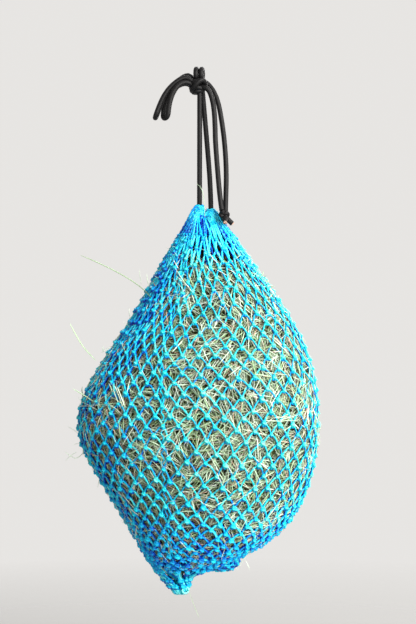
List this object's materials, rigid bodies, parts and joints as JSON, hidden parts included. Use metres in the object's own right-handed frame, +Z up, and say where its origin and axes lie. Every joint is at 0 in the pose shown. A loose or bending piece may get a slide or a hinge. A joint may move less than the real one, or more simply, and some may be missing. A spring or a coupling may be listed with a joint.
{
  "type": "hay net",
  "caption": "Small-holed knotted twine net filled with hay, gathered on a black draw cord that is hitched over a tie ring bar.",
  "frame": {"origin": "middle of the tie ring's bar, inside the two turns of the draw cord", "axes": "+Z up, +X to the right seen from the front and along the ring's bar, -Y to the front"},
  "size_m": [0.2639, 0.214, 0.58],
  "materials": {
    "draw_cord": "matte",
    "cut_cord_end": "matte",
    "net_twine": "satin",
    "tie_twine": "satin",
    "hay": "matte"
  },
  "bodies": {
    "ring_turns": {"ring_turn_left": "draw_cord", "ring_turn_right": "draw_cord"},
    "hitch": {"hitch_knot": "draw_cord", "slip_bight_outer": "draw_cord", "slip_bight_inner": "draw_cord"},
    "drop_cords": {"load_strand_left": "draw_cord", "load_strand_right": "draw_cord"},
    "tail_cords": {"tail_strand_left": "draw_cord", "tail_strand_right": "draw_cord", "end_knot": "draw_cord", "cord_end_left": "cut_cord_end", "cord_end_right": "cut_cord_end"},
    "bag": {"mouth_cord": "draw_cord", "mouth_gather_left": "net_twine", "mouth_gather_right": "net_twine", "net_body": "net_twine", "side_seam": "net_twine", "base_gather": "net_twine", "base_tie": "tie_twine", "corner_gather": "net_twine", "hay_fill": "hay"}
  },
  "joints": [
    {"name": "swing_fore_aft", "type": "hinge", "parent": "ring_turns", "child": "hitch", "pos_m": [0, 0, 0], "axis": [1, 0, 0], "range_deg": [-30, 30]},
    {"name": "swing_sideways", "type": "hinge", "parent": "hitch", "child": "drop_cords", "pos_m": [-0.0019, 0, -0.0133], "axis": [0, 1, 0], "range_deg": [-20, 20]},
    {"name": "rock_fore_aft", "type": "hinge", "parent": "drop_cords", "child": "bag", "pos_m": [0.0063, 0, -0.149], "axis": [1, 0, 0], "range_deg": [-10, 10]},
    {"name": "tail_lift", "type": "hinge", "parent": "drop_cords", "child": "tail_cords", "pos_m": [-0.0019, 0, -0.0133], "axis": [0, -1, 0], "range_deg": [0, 25]}
  ]
}
